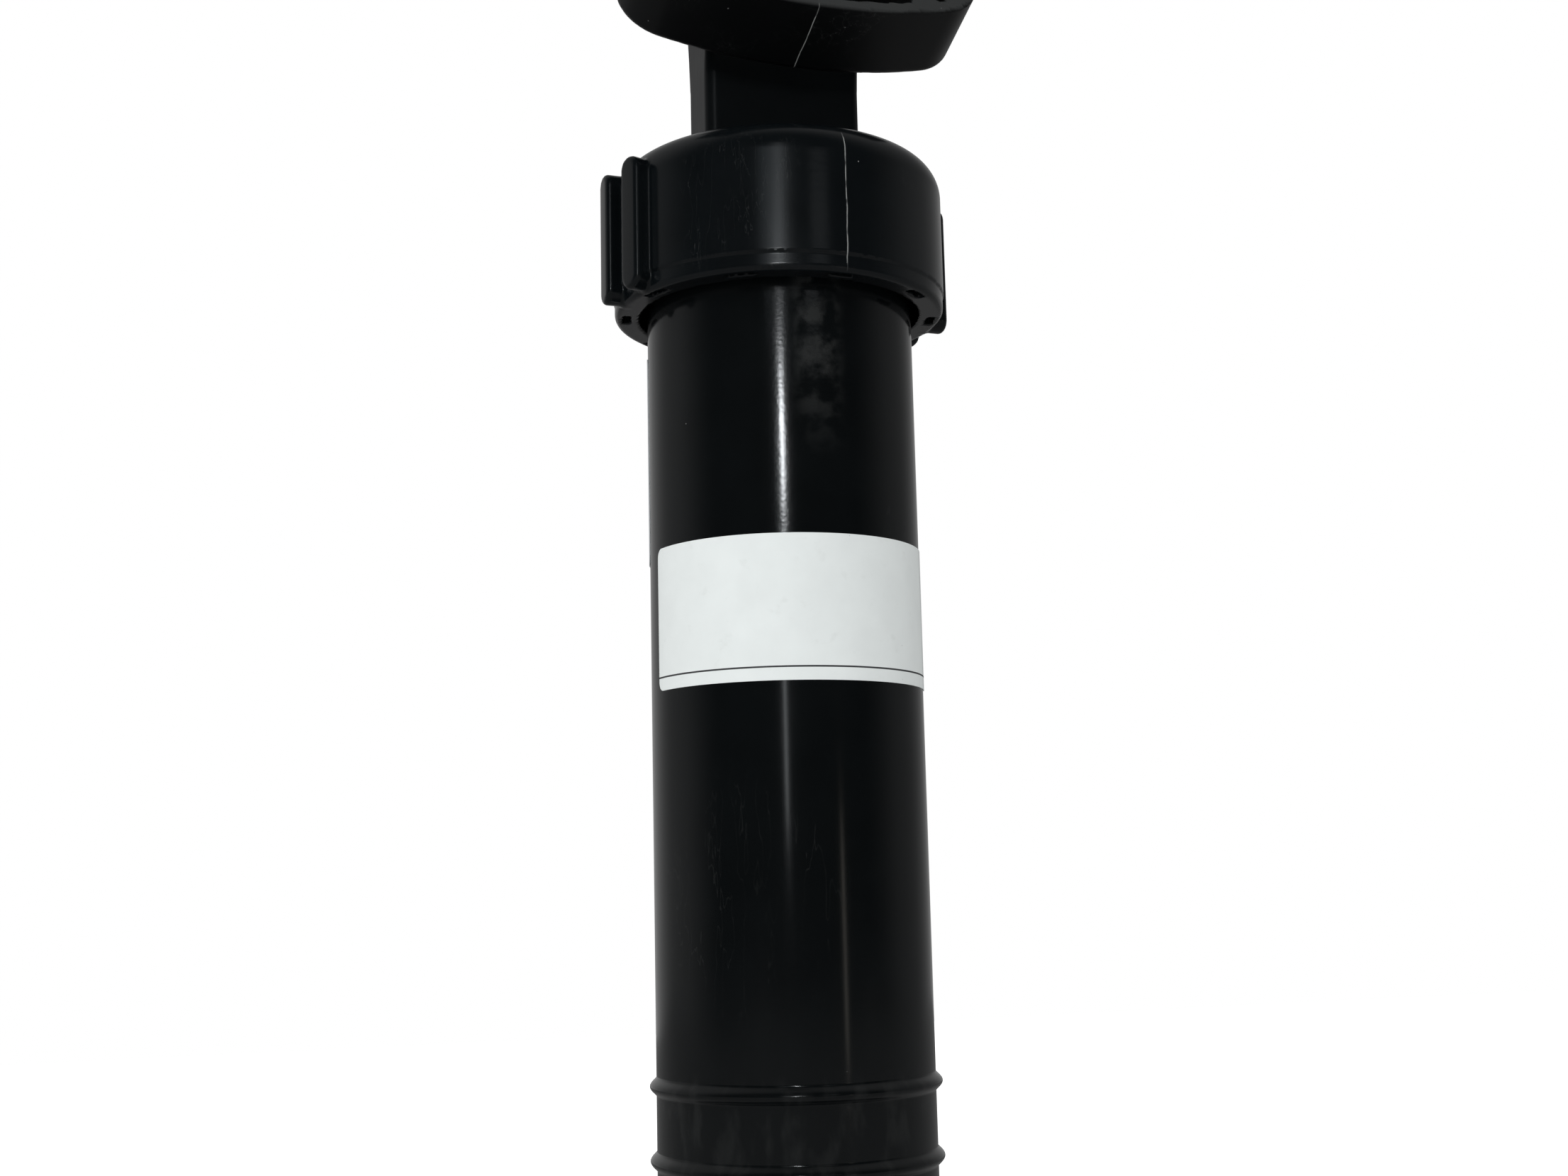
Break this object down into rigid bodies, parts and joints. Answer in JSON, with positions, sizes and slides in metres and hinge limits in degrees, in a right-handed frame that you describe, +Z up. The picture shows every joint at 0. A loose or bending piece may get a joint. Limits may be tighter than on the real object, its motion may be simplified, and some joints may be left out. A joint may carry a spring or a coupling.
{
  "type": "trim tab actuator",
  "caption": "Hydraulic trim tab actuator: a spring-returned ram in a moulded cylinder, hung from a transom hinge base, with a hinged tab bracket.",
  "frame": {"origin": "centre of the hinge base's screw circle, on the transom face", "axes": "+Z up along the cylinder at rest, X along the hinge pins, -Y towards the boat; the transom face leans 22.35 degrees from +Z"},
  "size_m": [0.0666, 0.0606, 0.345],
  "materials": {
    "hinge_plastic": "moulded, matt, slightly grey on the transom face",
    "head_plastic": "moulded, satin",
    "nut_plastic": "moulded, half gloss",
    "tube_plastic": "moulded, satin with a fine speckled grain",
    "bush_plastic": "natural acetal",
    "piston_plastic": "turned",
    "wear_plastic": "woven composite",
    "label_film": "white paper film",
    "decal_film": "light film",
    "seal_rubber": "nitrile rubber",
    "pin_steel": "stainless, turned",
    "clip_steel": "stainless, pressed",
    "spring_steel": "stainless spring wire",
    "rod_steel": "ground and polished stainless",
    "fitting_brass": "machined brass"
  },
  "bodies": {
    "transom_base": {"upper_hinge_base": "hinge_plastic", "ear_bushes": "bush_plastic", "upper_hinge_pin": "pin_steel", "upper_pin_clip": "clip_steel"},
    "cylinder": {"cylinder_head": "head_plastic", "neck_bush": "bush_plastic", "port_nut": "fitting_brass", "port_ferrule": "fitting_brass", "head_o_ring": "seal_rubber", "thrust_washer": "bush_plastic", "union_nut": "nut_plastic", "cylinder_tube": "tube_plastic", "rating_label": "label_film", "side_decal": "decal_film", "return_spring": "spring_steel", "stroke_spacer": "bush_plastic", "rod_gland": "bush_plastic", "gland_o_ring": "seal_rubber", "rod_seal": "seal_rubber", "rod_wiper": "seal_rubber", "gland_retaining_ring": "clip_steel"},
    "spring_seat": {"spring_seat_washer": "clip_steel"},
    "ram": {"piston_rod": "rod_steel", "piston": "piston_plastic", "piston_wear_ring": "wear_plastic", "piston_cup_seal": "seal_rubber", "cup_washer": "clip_steel", "piston_lock_nut": "pin_steel", "rod_eye": "head_plastic", "rod_cross_pin": "pin_steel", "rod_eye_bush": "bush_plastic"},
    "tab_hinge": {"tab_bracket": "hinge_plastic", "bracket_bushes": "bush_plastic", "lower_hinge_pin": "pin_steel", "lower_pin_clip": "clip_steel"}
  },
  "joints": [
    {"name": "upper_hinge", "type": "hinge", "parent": "transom_base", "child": "cylinder", "pos_m": [0, 0.01508, -0.0062], "axis": [1, 0, 0], "range_deg": [-6, 30]},
    {"name": "ram_slide", "type": "slide", "parent": "cylinder", "child": "spring_seat", "axis": [0, 0, -1], "range_m": [0, 0.0635], "stiffness_N_per_m": 1200, "springref_m": -0.045, "deforming": ["return_spring"]},
    {"name": "ram_swivel", "type": "hinge", "parent": "spring_seat", "child": "ram", "pos_m": [0, 0.01508, -0.1042], "axis": [0, 0, 1], "continuous": true},
    {"name": "lower_hinge", "type": "hinge", "parent": "ram", "child": "tab_hinge", "pos_m": [0, 0.01508, -0.2862], "axis": [1, 0, 0], "range_deg": [-70, 70]}
  ]
}
